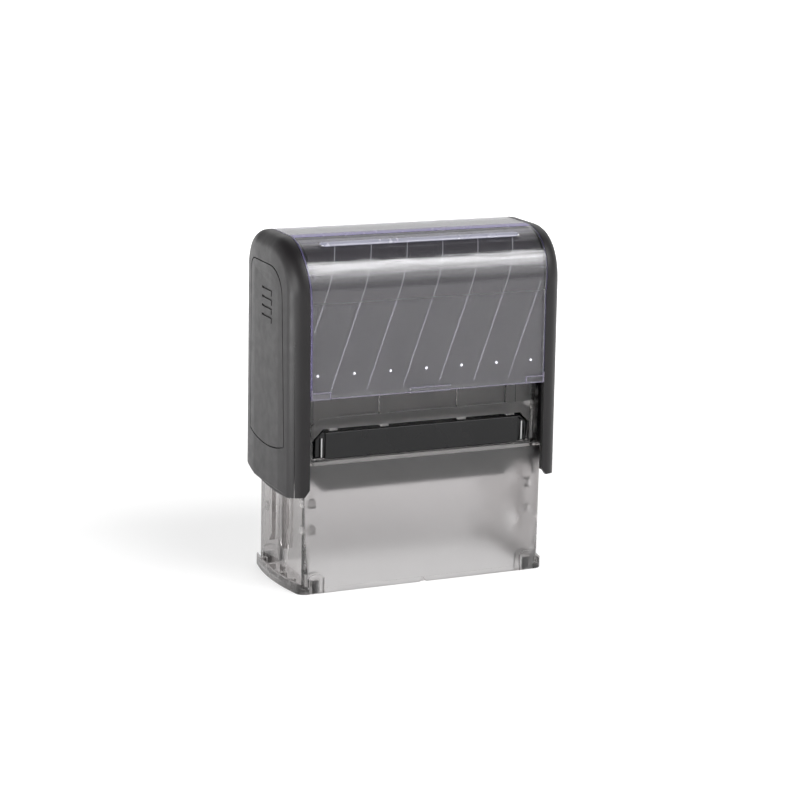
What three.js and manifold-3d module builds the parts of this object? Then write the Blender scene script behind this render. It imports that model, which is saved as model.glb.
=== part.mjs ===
// A self inking stamp: a clear base frame, a black cap that slides down over it, and a die carrier that
// turns over on its way from the ink pad to the paper. Millimetres, +Z up, +X to the right, -Y to the front.
// The origin is on the table, under the middle of the stamp. The stamp stands at rest, with the cap up.
import * as THREE from "three";
import { mergeVertices } from "three/addons/utils/BufferGeometryUtils.js";
import Module from "manifold-3d";

const wasm = await Module();
wasm.setup();

// ---------- driving dimensions ----------
const TRAVEL = 18; // how far the cap goes down
const AXLE_Z = 22.7; // the die carrier's axle at rest
const FACE_H = 4.6; // from the axle to the printing face
const IMPRINT = { x: 47, y: 18 };

const CAP = {
  halfWidth: 30.8, // at mid depth; the side faces are bowed
  bow: 0.9, // how much narrower the side is at its front and back edges
  edgeRadius: 3,
  halfDepthLow: 14, // at the foot of the arms; the front leans back
  halfDepthHigh: 13.2, // where the front shoulder starts
  backDepth: 14.05, // the back is upright
  backShoulder: 8, // radius, tighter than at the front
  bottomZ: 20.5,
  frontRise: 0.5, // the arms' lower edge is an arc, higher at the back
  backRise: 2.7,
  shoulderZ: 62.0,
  topZ: 72.8,
  sideWall: 1.4,
  lip: 1.1, // wall at the front and back of the arms
  roof: 2.2,
  bayHalf: 26.4, // half the gap between the arms
  bayHalfTop: 27.1, // the gap widens round the shoulder
  flareFrom: 60,
  flareTo: 70,
};
const WINDOW = { bottomZ: 41, wall: 0.85, backY: 8, sideGap: 0.15 };
const BACK_WALL_LOW = 34; // the cap's wall behind the base
const TOP_RIB = { half: 22.4, angle: 62.3, width: 1.4, height: 0.28 }; // degrees up the shoulder
const CARD = { from: 0.95, to: 1.1, bottomZ: 41.8, backY: 6.5, halfWidth: 25.9 };
const FRONT_WALL = { from: 1.3, to: 2.0, bottomZ: 45.9 };
const BASE = {
  halfWidth: 27,
  halfDepthFoot: 12.7,
  halfDepthLedge: 11.75,
  ledgeZ: 27.4,
  ledgeChamfer: 0.5,
  halfDepthFrame: 11,
  frameTopZ: 36.45, // the raised frame round the cartridge opening
  frameHalf: 25.6,
  frameChamfer: 2.2,
  halfDepthUpper: 10,
  shoulderZ: 44,
  halfDepthTop: 8.8,
  topZ: 49.6,
  wall: 1.4,
  sideWall: 1.6,
  cornerRadius: 1.5,
};
const FLANGE = { halfWidth: 29.4, plate: 1.1, rimTop: 2.15, rim: 0.7 };
const SLOT = { half: 1.75, low: 2.9, high: 24.6 };
const OPENING = { half: 24.7, low: 27.4, high: 34.2, chamfer: 2.2, ramp: 0.4 };
const TRAY_TOP = 33.4;
const BOSS = { x: 24.2, y: 11.2, radius: 2.3, top: 4.2, face: 12.8 };
const GUIDE_PEG = { radius: 0.75, arm: 2.9 };
const PIN_RADIUS = 1.5;
const SPRING = { radius: 4.2, wire: 0.4, low: 36.5, high: 68.6, turns: 8 };
const YOKE = { inner: 27.3, outer: 28.7, barTop: 70.4, barBottom: 68.9, legLow: 21.2, legHalf: 1.95 };
const RAIL = { from: 2.25, to: 3.5, outX: 28.2, top: 26.5, low: 7.4, lowInner: 9.2 };
const LOCK = { half: 4.8, low: 46.4, high: 49.6, out: 14.35 };
const INSERT = {
  frontTop: 7.9, // the front edge leans with the cap
  frontLow: 9.3,
  back: 9.3,
  top: 66.8,
  low: 29.3,
  lowRise: 1.5,
  frontCorner: 6,
  backCorner: 2.4,
  floorX: 30.05,
  gap: 0.22,
};
const GRIPS = { count: 4, topZ: 61.7, pitch: 1.87, half: 2.75, width: 0.45, depth: 0.45 };
const FOOT_PAD = { x: 24.2, y: 11.35, radius: 1.0, height: 2.6 };

// ---------- solids ----------
function solidOf(geometry) {
  const bare = geometry.clone();
  bare.deleteAttribute("normal");
  bare.deleteAttribute("uv");
  const merged = mergeVertices(bare, 1e-4);
  const mesh = new wasm.Mesh({
    numProp: 3,
    vertProperties: merged.attributes.position.array,
    triVerts: new Uint32Array(merged.index.array),
  });
  return new wasm.Manifold(mesh);
}

function shapeOf(points) {
  return new THREE.Shape(points.map(([a, b]) => new THREE.Vector2(a, b)));
}

function prism(shape, depth, segments) {
  const options = { depth, bevelEnabled: false, curveSegments: segments ?? 10 };
  return new THREE.ExtrudeGeometry(shape, options);
}

// A shape drawn in (y, z), from x0 to x1.
function alongX(shape, x0, x1, segments) {
  const turn = new THREE.Matrix4().set(0, 0, 1, x0, 1, 0, 0, 0, 0, 1, 0, 0, 0, 0, 0, 1);
  return solidOf(prism(shape, x1 - x0, segments).applyMatrix4(turn));
}

// A shape drawn in (x, z), from y0 to y1.
function alongY(shape, y0, y1, segments) {
  return solidOf(prism(shape, y1 - y0, segments).rotateX(Math.PI / 2).translate(0, y1, 0));
}

// A shape drawn in (x, y), from z0 to z1.
function alongZ(shape, z0, z1, segments) {
  return solidOf(prism(shape, z1 - z0, segments).translate(0, 0, z0));
}

function box(x0, x1, y0, y1, z0, z1) {
  const geometry = new THREE.BoxGeometry(x1 - x0, y1 - y0, z1 - z0);
  return solidOf(geometry.translate((x0 + x1) / 2, (y0 + y1) / 2, (z0 + z1) / 2));
}

function rodX(radius, x0, x1, y, z, sides = 24) {
  const geometry = new THREE.CylinderGeometry(radius, radius, x1 - x0, sides);
  return solidOf(geometry.rotateZ(Math.PI / 2).translate((x0 + x1) / 2, y, z));
}

function rodZ(radius, z0, z1, x, y, sides = 24) {
  const geometry = new THREE.CylinderGeometry(radius, radius, z1 - z0, sides);
  return solidOf(geometry.rotateX(Math.PI / 2).translate(x, y, (z0 + z1) / 2));
}

function join(...solids) {
  return solids.reduce((whole, next) => whole.add(next));
}

function cut(body, ...tools) {
  return tools.reduce((whole, next) => whole.subtract(next), body);
}

function mirroredX(solid) {
  return solid.mirror([1, 0, 0]);
}

function bothSides(solid) {
  return solid.add(mirroredX(solid));
}

function allCorners(solid) {
  const left = bothSides(solid);
  return left.add(left.mirror([0, 1, 0]));
}

// ---------- outlines ----------
function roundedBox(halfA, lowB, highB, radius) {
  const shape = new THREE.Shape();
  shape.moveTo(-halfA + radius, lowB);
  shape.absarc(halfA - radius, lowB + radius, radius, -Math.PI / 2, 0, false);
  shape.absarc(halfA - radius, highB - radius, radius, 0, Math.PI / 2, false);
  shape.absarc(-halfA + radius, highB - radius, radius, Math.PI / 2, Math.PI, false);
  shape.absarc(-halfA + radius, lowB + radius, radius, Math.PI, 1.5 * Math.PI, false);
  return shape;
}

// How far the cap's front is from the middle at a height below the shoulder.
function capHalfDepth(z) {
  const share = (z - CAP.bottomZ) / (CAP.shoulderZ - CAP.bottomZ);
  return CAP.halfDepthLow + (CAP.halfDepthHigh - CAP.halfDepthLow) * share;
}

const SHOULDER_RADIUS = CAP.topZ - CAP.shoulderZ;
const SHOULDER_Y = CAP.halfDepthHigh - SHOULDER_RADIUS;

// Points of the cap's side profile in (y, z), inset by d: up the front, over the top, down the back.
function capArch(d, lowFront, lowBack, steps = 12) {
  const points = [[-(capHalfDepth(lowFront) - d), lowFront]];
  for (let i = 0; i <= steps; i++) {
    const angle = (Math.PI / 2) * (i / steps);
    const radius = SHOULDER_RADIUS - d;
    points.push([-SHOULDER_Y - radius * Math.cos(angle), CAP.shoulderZ + radius * Math.sin(angle)]);
  }
  const [backY, backZ] = [CAP.backDepth - CAP.backShoulder, CAP.topZ - CAP.backShoulder];
  for (let i = steps; i >= 0; i--) {
    const angle = (Math.PI / 2) * (i / steps);
    const radius = CAP.backShoulder - d;
    points.push([backY + radius * Math.cos(angle), backZ + radius * Math.sin(angle)]);
  }
  points.push([CAP.backDepth - d, lowBack]);
  return points;
}

// A curved sheet that follows the cap's front and top, between two insets, down to bottomZ.
function archSheet(from, to, bottomZ, halfWidth, backY) {
  const skin = shapeOf(capArch(from, bottomZ, bottomZ).reverse());
  const core = shapeOf(capArch(to, bottomZ - 5, bottomZ - 5).reverse());
  const sheet = cut(alongX(skin, -halfWidth, halfWidth), alongX(core, -halfWidth - 1, halfWidth + 1));
  const behind = box(-halfWidth - 1, halfWidth + 1, backY, 20, bottomZ - 1, CAP.topZ + 1);
  const under = box(-halfWidth - 1, halfWidth + 1, 0, 20, bottomZ - 1, CAP.topZ - 3);
  return cut(sheet, behind, under);
}

// The gap between the arms, or the window in it, seen from the front.
function bayOutline(gap) {
  const low = CAP.bayHalf - gap;
  const high = CAP.bayHalfTop - gap;
  const right = [
    [low, -1],
    [low, CAP.flareFrom],
    [high, CAP.flareTo],
    [high, 90],
  ];
  return shapeOf([...right, ...right.map(([x, z]) => [-x, z]).reverse()]);
}

function bowedPlan(halfWidth, bow, halfDepth, radius) {
  const shape = new THREE.Shape();
  const edge = halfWidth - bow;
  shape.moveTo(-edge + radius, -halfDepth);
  shape.lineTo(edge - radius, -halfDepth);
  shape.quadraticCurveTo(edge, -halfDepth, edge + 0.1, -halfDepth + radius);
  shape.quadraticCurveTo(halfWidth + bow * 0.7, 0, edge + 0.1, halfDepth - radius);
  shape.quadraticCurveTo(edge, halfDepth, edge - radius, halfDepth);
  shape.lineTo(-edge + radius, halfDepth);
  shape.quadraticCurveTo(-edge, halfDepth, -edge - 0.1, halfDepth - radius);
  shape.quadraticCurveTo(-halfWidth - bow * 0.7, 0, -edge - 0.1, -halfDepth + radius);
  shape.quadraticCurveTo(-edge, -halfDepth, -edge + radius, -halfDepth);
  return shape;
}

// ---------- the cap ----------
// How far the side face stands out at a depth; it is bowed.
function sideFace(y) {
  return CAP.halfWidth - CAP.bow * (y / CAP.halfDepthLow) ** 2;
}

// Rings of the side profile, from the rounded edge of the right side face towards its middle.
function capRings() {
  const r = CAP.edgeRadius;
  const ring = (inset, drop) => capArch(inset, 5, 5).map(([y, z]) => [sideFace(y) - drop, y, z]);
  const rings = [];
  for (let i = 0; i <= 6; i++) {
    const swing = (Math.PI / 2) * (i / 6);
    rings.push(ring(r * (1 - Math.cos(swing)), r * (1 - Math.sin(swing))));
  }
  for (const inset of [1.5, 3, 4.5]) rings.push(ring(r + inset, 0));
  return rings;
}

// The cap's outside, with every outer edge rounded.
function capBody() {
  const right = capRings();
  const left = right.map((ring) => ring.map(([x, y, z]) => [-x, y, z])).reverse();
  const rings = [...left, ...right];
  const count = rings[0].length;
  const index = [];
  for (let j = 0; j + 1 < rings.length; j++) {
    for (let k = 0; k < count; k++) {
      const a = j * count + k;
      const b = j * count + ((k + 1) % count);
      index.push(a, a + count, b + count, a, b + count, b);
    }
  }
  const outline = left[0].map(([, y, z]) => new THREE.Vector2(y, z));
  const last = (rings.length - 1) * count;
  for (const [a, b, c] of THREE.ShapeUtils.triangulateShape(outline, [])) {
    const area = THREE.ShapeUtils.area([outline[a], outline[b], outline[c]]);
    const [first, second] = area > 0 ? [b, c] : [c, b];
    index.push(a, second, first, last + a, last + first, last + second);
  }
  const geometry = new THREE.BufferGeometry();
  geometry.setAttribute("position", new THREE.Float32BufferAttribute(rings.flat(2), 3));
  geometry.setIndex(index);
  return solidOf(geometry);
}

function capEnvelope() {
  const frontLow = CAP.bottomZ + CAP.frontRise;
  const backLow = CAP.bottomZ + CAP.backRise;
  const side = shapeOf([
    [capHalfDepth(backLow) + 1, 90],
    [-capHalfDepth(frontLow) - 1, 90],
    [-capHalfDepth(frontLow) - 1, frontLow],
    [-capHalfDepth(frontLow), frontLow],
  ]);
  side.quadraticCurveTo(0, 2 * CAP.bottomZ - (frontLow + backLow) / 2, capHalfDepth(backLow), backLow);
  side.lineTo(capHalfDepth(backLow) + 1, backLow);
  const face = shapeOf([
    [-CAP.halfWidth + 0.5, CAP.bottomZ - 1],
    [CAP.halfWidth - 0.5, CAP.bottomZ - 1],
    [CAP.halfWidth - 0.5, CAP.bottomZ + 0.4],
    [CAP.halfWidth + 1, CAP.bottomZ + 2.4],
    [CAP.halfWidth + 1, 90],
    [-CAP.halfWidth - 1, 90],
    [-CAP.halfWidth - 1, CAP.bottomZ + 2.4],
    [-CAP.halfWidth + 0.5, CAP.bottomZ + 0.4],
  ]);
  return capBody().intersect(alongX(side, -40, 40, 10)).intersect(alongY(face, -30, 30));
}

function insertOutline(gap) {
  const shape = new THREE.Shape();
  const back = INSERT.back + gap;
  const low = INSERT.low + INSERT.lowRise - gap;
  const top = INSERT.top + gap;
  const { frontCorner, backCorner } = INSERT;
  shape.moveTo(-INSERT.frontLow - gap, low);
  shape.quadraticCurveTo(0, INSERT.low - INSERT.lowRise - gap, back, low);
  shape.lineTo(back, top - backCorner);
  shape.absarc(back - backCorner, top - backCorner, backCorner, 0, Math.PI / 2, false);
  const front = -INSERT.frontTop - gap + frontCorner;
  shape.absarc(front, top - frontCorner, frontCorner, Math.PI / 2, Math.PI, false);
  return shape;
}

function makeCapHousing(envelope) {
  const inner = CAP.halfWidth - CAP.sideWall;
  const hollowShape = shapeOf(capArch(CAP.lip, 5, 5).reverse());
  const hollow = alongX(hollowShape, -inner, inner).intersect(box(-40, 40, -40, 40, 0, CAP.topZ - CAP.roof));
  const core = shapeOf(capArch(FRONT_WALL.from, 5, 5).reverse());
  const coat = cut(alongY(bayOutline(0), -20, WINDOW.backY + 0.15), alongX(core, -40, 40));
  const below = box(-CAP.bayHalf, CAP.bayHalf, -20, 0, 0, FRONT_WALL.bottomZ);
  const belowBack = box(-CAP.bayHalf, CAP.bayHalf, 0, 20, 0, BACK_WALL_LOW);
  const lipCorner = shapeOf([
    [CAP.bayHalf - 1, CAP.bottomZ - 1],
    [CAP.bayHalf + 1.6, CAP.bottomZ - 1],
    [CAP.bayHalf + 1.2, CAP.bottomZ + 0.3],
    [CAP.bayHalf - 0.3, CAP.bottomZ + 2.4],
  ]);
  const lipCorners = bothSides(alongY(lipCorner, -20, 0));
  const shell = cut(envelope, hollow, coat, below, belowBack, lipCorners);
  const wall = archSheet(FRONT_WALL.from, FRONT_WALL.to, FRONT_WALL.bottomZ, 28, 0);
  const web = cut(
    archSheet(0.5, FRONT_WALL.to, FRONT_WALL.bottomZ, 28, 0),
    alongY(bayOutline(0), -40, 40),
  );
  const lockHole = box(-LOCK.half - 0.25, LOCK.half + 0.25, 5, 20, LOCK.low - 0.25, LOCK.high + 0.25);
  const pocket = alongX(insertOutline(INSERT.gap), INSERT.floorX - 0.15, 40, 8);
  return cut(join(shell, wall, web), lockHole, pocket, mirroredX(pocket));
}

function makeSidePanel(envelope) {
  let panel = alongX(insertOutline(0), INSERT.floorX, 40, 8).intersect(envelope);
  for (let i = 0; i < GRIPS.count; i++) {
    const z = GRIPS.topZ - i * GRIPS.pitch;
    const x = CAP.halfWidth - GRIPS.depth;
    const groove = box(x, 40, -GRIPS.half, GRIPS.half, z - GRIPS.width / 2, z + GRIPS.width / 2);
    const hook = box(x, 40, -GRIPS.half, -GRIPS.half + GRIPS.width, z - 1.2, z);
    panel = cut(panel, groove, hook);
  }
  return panel;
}

function makeWindow() {
  const half = CAP.bayHalf - WINDOW.sideGap;
  const sheet = archSheet(0, WINDOW.wall, WINDOW.bottomZ, CAP.bayHalfTop, WINDOW.backY);
  const pane = sheet.intersect(alongY(bayOutline(WINDOW.sideGap), -40, 40));
  const y = -capHalfDepth(WINDOW.bottomZ);
  const tab = box(-4.5, 4.5, y - 0.35, y + 0.5, WINDOW.bottomZ, WINDOW.bottomZ + 1.1);
  const corner = box(22, half, y - 0.25, y + 0.5, WINDOW.bottomZ, WINDOW.bottomZ + 1.5);
  return join(pane, tab, bothSides(corner), topRib());
}

// A low rounded rib along the front of the window's top.
function topRib() {
  const middle = THREE.MathUtils.degToRad(TOP_RIB.angle);
  const half = TOP_RIB.width / 2 / SHOULDER_RADIUS;
  const at = (turn, reach) => [-SHOULDER_Y - reach * Math.cos(turn), CAP.shoulderZ + reach * Math.sin(turn)];
  const points = [];
  for (let i = 0; i <= 8; i++) {
    const swing = Math.PI * (i / 8);
    const reach = SHOULDER_RADIUS - 0.05 + TOP_RIB.height * Math.sin(swing);
    points.push(at(middle + half * Math.cos(swing), reach));
  }
  points.push(at(middle - half, SHOULDER_RADIUS - 0.4), at(middle + half, SHOULDER_RADIUS - 0.4));
  return alongX(shapeOf(points), -TOP_RIB.half, TOP_RIB.half);
}

function makeCard() {
  return archSheet(CARD.from, CARD.to, CARD.bottomZ, CARD.halfWidth, CARD.backY);
}

function makeLockButton() {
  const face = box(-LOCK.half, LOCK.half, 11.3, LOCK.out, LOCK.low, LOCK.high);
  const flange = box(-LOCK.half - 1.2, LOCK.half + 1.2, 11.9, 12.5, LOCK.low - 0.6, LOCK.high + 0.6);
  return join(face, flange);
}

// The inner bracket: a bar under the cap's roof, a leg inside each arm and a post for the spring.
function makeYoke() {
  const bar = box(-YOKE.outer, YOKE.outer, -5, 5, YOKE.barBottom, YOKE.barTop);
  const leg = new THREE.Shape();
  leg.moveTo(-5, YOKE.barTop);
  leg.lineTo(-YOKE.legHalf, 48);
  leg.lineTo(-YOKE.legHalf, YOKE.legLow + 0.8);
  leg.lineTo(-YOKE.legHalf + 0.8, YOKE.legLow);
  leg.lineTo(YOKE.legHalf - 0.8, YOKE.legLow);
  leg.lineTo(YOKE.legHalf, YOKE.legLow + 0.8);
  leg.lineTo(YOKE.legHalf, 48);
  leg.lineTo(5, YOKE.barTop);
  const legs = bothSides(alongX(leg, YOKE.inner, YOKE.outer));
  const post = rodZ(2.6, 56, YOKE.barBottom + 0.5, 0, 0, 20);
  const bore = bothSides(rodX(PIN_RADIUS + 0.1, 26, 30, 0, AXLE_Z));
  return cut(join(bar, legs, post), bore);
}

function makeAxlePin(side) {
  const pin = rodX(PIN_RADIUS, 23, 28.85, 0, AXLE_Z);
  return side < 0 ? mirroredX(pin) : pin;
}

// ---------- the base ----------
function baseEnvelope() {
  const b = BASE;
  const right = [
    [b.halfDepthFoot, 0],
    [b.halfDepthLedge, b.ledgeZ - b.ledgeChamfer],
    [b.halfDepthLedge - b.ledgeChamfer, b.ledgeZ],
    [b.halfDepthFrame, b.ledgeZ],
    [b.halfDepthFrame, b.frameTopZ],
    [b.halfDepthUpper, b.frameTopZ],
    [b.halfDepthUpper, b.shoulderZ],
    [b.halfDepthTop, b.topZ],
  ];
  const left = right.map(([y, z]) => [-y, z]).reverse();
  const plan = roundedBox(b.halfWidth, -b.halfDepthFoot, b.halfDepthFoot, b.cornerRadius);
  return alongX(shapeOf([...right, ...left]), -40, 40).intersect(alongZ(plan, -1, 90, 5));
}

function flange() {
  const f = FLANGE;
  const bow = 1.3;
  const depth = BASE.halfDepthFoot;
  const outline = bowedPlan(f.halfWidth, bow, depth, 2.4);
  const inside = bowedPlan(f.halfWidth - f.rim, bow, depth + 1, 2.4);
  const ends = bothSides(box(26.2, 40, -20, 20, 0, 9));
  const rim = cut(alongZ(outline, 0, f.rimTop, 6), alongZ(inside, -1, 9, 6)).intersect(ends);
  const outer = f.halfWidth - 0.9;
  const ribs = [-8, -3.2, 3.2, 8].map((y) => bothSides(box(26.5, outer, y - 0.4, y + 0.4, 0, 2.3)));
  return join(alongZ(outline, 0, f.plate, 6), rim, ...ribs);
}

// Where a guide peg's centre goes as the carrier sinks and turns over, in (y, z).
function pegPath(steps) {
  const points = [];
  for (let i = 0; i <= steps; i++) {
    const turn = (Math.PI * i) / steps;
    const axle = AXLE_Z - (TRAVEL * i) / steps;
    points.push([-GUIDE_PEG.arm * Math.sin(turn), axle + GUIDE_PEG.arm * Math.cos(turn)]);
  }
  return points;
}

function camGroove() {
  const steps = 24;
  const half = GUIDE_PEG.radius + 0.25;
  const path = pegPath(steps);
  const offset = (side) =>
    path.map(([y, z], i) => {
      const [y0, z0] = path[Math.max(i - 1, 0)];
      const [y1, z1] = path[Math.min(i + 1, steps)];
      const length = Math.hypot(y1 - y0, z1 - z0);
      return [y + (side * half * (z1 - z0)) / length, z - (side * half * (y1 - y0)) / length];
    });
  const band = shapeOf([...offset(1), ...offset(-1).reverse()]);
  const ends = [path[0], path[steps]].map(([y, z]) => rodX(half, 25, 26.35, y, z, 16));
  return join(alongX(band, 25, 26.35), ...ends);
}

function cartridgeOpening() {
  const o = OPENING;
  const shape = shapeOf([
    [-o.half, o.low + o.ramp],
    [-21.8, o.low + o.ramp],
    [-20.4, o.low],
    [20.4, o.low],
    [21.8, o.low + o.ramp],
    [o.half, o.low + o.ramp],
    [o.half, o.high - o.chamfer],
    [o.half - o.chamfer, o.high],
    [-o.half + o.chamfer, o.high],
    [-o.half, o.high - o.chamfer],
  ]);
  return alongY(shape, -20, 20);
}

// A foot's boss: flat at the front, with an arched top.
function cornerBoss() {
  const { x, y, radius, top, face } = BOSS;
  const arch = new THREE.Shape();
  arch.moveTo(x + radius, -1);
  arch.absarc(x, top - radius, radius, 0, Math.PI, false);
  arch.lineTo(x - radius, -1);
  return rodZ(radius, 0, top, x, y, 20).intersect(alongY(arch, y - 0.95, face, 8));
}

// What is cut from the frame's front at its right end, to leave a chamfered upper corner.
function frameCorner() {
  const b = BASE;
  const shape = shapeOf([
    [b.frameHalf - b.frameChamfer, b.frameTopZ],
    [b.frameHalf, b.frameTopZ - b.frameChamfer],
    [b.frameHalf, b.ledgeZ],
    [40, b.ledgeZ],
    [40, b.frameTopZ + 1],
    [b.frameHalf - b.frameChamfer, b.frameTopZ + 1],
  ]);
  return alongY(shape, b.halfDepthUpper, 40);
}

function makeBaseFrame() {
  const b = BASE;
  const inX = b.halfWidth - b.sideWall;
  const deckLow = 34.8;
  const deckTop = 36.2;
  const lower = alongX(
    shapeOf([
      [-(b.halfDepthFoot - b.wall), -1],
      [b.halfDepthFoot - b.wall, -1],
      [b.halfDepthLedge - b.wall, b.ledgeZ - 0.2],
      [9.7, b.ledgeZ - 0.2],
      [9.7, deckLow],
      [-9.7, deckLow],
      [-9.7, b.ledgeZ - 0.2],
      [-(b.halfDepthLedge - b.wall), b.ledgeZ - 0.2],
    ]),
    -inX,
    inX,
  );
  const upper = alongX(
    shapeOf([
      [-8.7, deckTop],
      [8.7, deckTop],
      [8.7, b.shoulderZ],
      [7.6, b.topZ + 1],
      [-7.6, b.topZ + 1],
      [-8.7, b.shoulderZ],
    ]),
    -inX,
    inX,
  );
  const slot = bothSides(box(24, 30, -SLOT.half, SLOT.half, SLOT.low, SLOT.high));
  const grooves = bothSides(camGroove());
  const corners = allCorners(frameCorner());
  let frame = cut(join(baseEnvelope(), flange()), lower, upper, slot, grooves, cartridgeOpening(), corners);

  const railShape = shapeOf([
    [RAIL.from, RAIL.lowInner],
    [RAIL.to, RAIL.low],
    [RAIL.to, RAIL.top],
    [RAIL.from, RAIL.top],
  ]);
  const guideRails = allCorners(alongX(railShape, b.halfWidth - 0.2, RAIL.outX));
  const blocks = allCorners(box(21.2, b.halfWidth - 1.2, 9.5, 10.9, b.frameTopZ - 1, b.shoulderZ));
  const well = cut(rodZ(6.2, deckTop - 0.5, b.topZ - 2, 0, 0, 28), rodZ(5.2, deckTop, b.topZ, 0, 0, 28));
  const ribs = [-20.1, -8.8, 8.8, 20.1].flatMap((x) => [
    box(x - 1.1, x + 1.1, -10.7, -9.5, b.frameTopZ - 1, b.shoulderZ),
    box(x - 1.1, x + 1.1, 9.5, 10.7, b.frameTopZ - 1, b.shoulderZ),
    box(x - 0.9, x + 0.9, -10.9, -10, OPENING.high - 0.45, OPENING.high + 0.5),
  ]);
  const rail = allCorners(box(24.3, 25.8, 1.5, 9.9, 27.5, 28.1));
  const lugs = [12.2, 17.8].map((z) => allCorners(box(23.95, 25.8, 8.8, 11, z, z + 1.6)));
  const boss = allCorners(cornerBoss());
  const catchRib = box(-4.5, 4.5, 9.5, 10.9, 44.3, 45.3);
  const strut = box(-26, 26, -0.6, 0.6, deckTop - 0.5, deckTop + 5);
  const strutGap = rodZ(5.2, deckTop, b.topZ, 0, 0, 28);
  frame = join(frame, guideRails, blocks, well, ...ribs, rail, ...lugs, boss, catchRib, cut(strut, strutGap));

  const pad = FOOT_PAD;
  const padHoles = allCorners(rodZ(pad.radius + 0.12, -1, pad.height + 0.2, pad.x, pad.y, 16));
  const mark = alongY(
    shapeOf([
      [-0.8, -0.1],
      [0.8, -0.1],
      [0, 0.9],
    ]),
    -13,
    -12.2,
  );
  return cut(frame, padHoles, mark);
}

function makeFootPad(sideX, sideY) {
  const p = FOOT_PAD;
  return rodZ(p.radius, 0, p.height, sideX * p.x, sideY * p.y, 16);
}

// ---------- the ink cartridge ----------
function makeCartridgeTray() {
  const face = box(-21.9, 21.9, -11, -9.9, 27.9, TRAY_TOP);
  const endRib = bothSides(box(22.4, 23.1, -11, -10, 28.25, TRAY_TOP - 1));
  const outline = shapeOf([
    [-24, 28.25],
    [24, 28.25],
    [24, TRAY_TOP - 1.4],
    [22.6, TRAY_TOP],
    [-22.6, TRAY_TOP],
    [-24, TRAY_TOP - 1.4],
  ]);
  const body = alongY(outline, -10.6, 9.8);
  const pocket = box(-23.3, 23.3, -9.5, 9.5, 27, 32.4);
  return join(cut(body, pocket), face, endRib);
}

function makeInkPad() {
  return box(-23.1, 23.1, -9.3, 9.3, 28.4, 32.2);
}

// ---------- the die carrier, drawn face up ----------
function makeDieCarrier() {
  const bar = box(-20.9, 20.9, -7.4, 7.4, 20.2, 25.2);
  const plate = box(-23.7, 23.7, -9.2, 9.2, 25, 25.95);
  const arm = box(20.5, 24.9, -3.2, 3.2, 21.4, 25.5);
  const disc = rodX(4, 23.7, 24.9, 0, AXLE_Z, 32);
  const peg = rodX(GUIDE_PEG.radius, 24.5, 26.1, 0, AXLE_Z + GUIDE_PEG.arm, 14);
  const bore = rodX(PIN_RADIUS + 0.12, 22.7, 30, 0, AXLE_Z);
  return cut(join(bar, plate, bothSides(join(arm, disc, peg))), bothSides(bore));
}

function makeDieCushion() {
  const { x, y } = IMPRINT;
  return box(-x / 2, x / 2, -y / 2, y / 2, 26.0, 26.5);
}

// The rubber die: a thin sheet with a raised border and plain raised lines where lettering would be.
function makeTextPlate() {
  const faceZ = AXLE_Z + FACE_H;
  const halfX = IMPRINT.x / 2;
  const halfY = IMPRINT.y / 2;
  const sheet = box(-halfX, halfX, -halfY, halfY, 26.55, 26.9);
  const border = cut(
    box(-halfX + 0.5, halfX - 0.5, -halfY + 0.5, halfY - 0.5, 26.8, faceZ),
    box(-halfX + 1, halfX - 1, -halfY + 1, halfY - 1, 26, 30),
  );
  const lines = [-4.6, 0, 4.6].map((y, i) => box(-20 + 3 * i, 20 - 3 * i, y - 0.9, y + 0.9, 26.8, faceZ));
  return join(sheet, border, ...lines);
}

// ---------- the return spring ----------
class Helix extends THREE.Curve {
  getPoint(t) {
    const angle = t * SPRING.turns * 2 * Math.PI;
    const low = SPRING.low + SPRING.wire;
    const z = low + (SPRING.high - SPRING.low - 2 * SPRING.wire) * t;
    return new THREE.Vector3(SPRING.radius * Math.cos(angle), SPRING.radius * Math.sin(angle), z);
  }
}

function makeReturnSpring() {
  const wire = new THREE.Shape();
  wire.absarc(0, 0, SPRING.wire, 0, 2 * Math.PI, false);
  const options = { steps: SPRING.turns * 16, extrudePath: new Helix(), curveSegments: 3 };
  return solidOf(new THREE.ExtrudeGeometry(wire, options));
}

// ---------- finishes ----------
function finish(colour, roughness, more = {}) {
  return new THREE.MeshStandardMaterial({ color: colour, roughness, metalness: 0, ...more });
}

const CLEAR = { transparent: true, opacity: 0.45 };
const FINISH = {
  cap: finish(0x3b393b, 0.45),
  clearBase: finish(0x8c888a, 0.2, CLEAR),
  clearWindow: finish(0xb9b4c8, 0.06, CLEAR),
  card: finish(0x4a464c, 0.6),
  blackPlastic: finish(0x1f1f20, 0.3),
  steel: finish(0xb8bac0, 0.3, { metalness: 1 }),
  inkPad: finish(0x1d2026, 0.95),
  foam: finish(0x8d9093, 0.95),
  rubber: finish(0x3a3a3c, 0.8),
  footRubber: finish(0x1c1c1c, 0.9),
};

function geometryOf(solid) {
  const mesh = solid.getMesh();
  const count = mesh.numVert;
  const positions = new Float32Array(count * 3);
  for (let i = 0; i < count; i++) {
    const start = i * mesh.numProp;
    positions.set(mesh.vertProperties.subarray(start, start + 3), i * 3);
  }
  const geometry = new THREE.BufferGeometry();
  geometry.setAttribute("position", new THREE.BufferAttribute(positions, 3));
  geometry.setIndex(new THREE.BufferAttribute(mesh.triVerts, 1));
  geometry.computeVertexNormals();
  return geometry;
}

// ---------- assembly ----------
const stamp = new THREE.Group();

function add(name, solid, material) {
  const mesh = new THREE.Mesh(geometryOf(solid), material);
  mesh.name = name;
  stamp.add(mesh);
}

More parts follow.
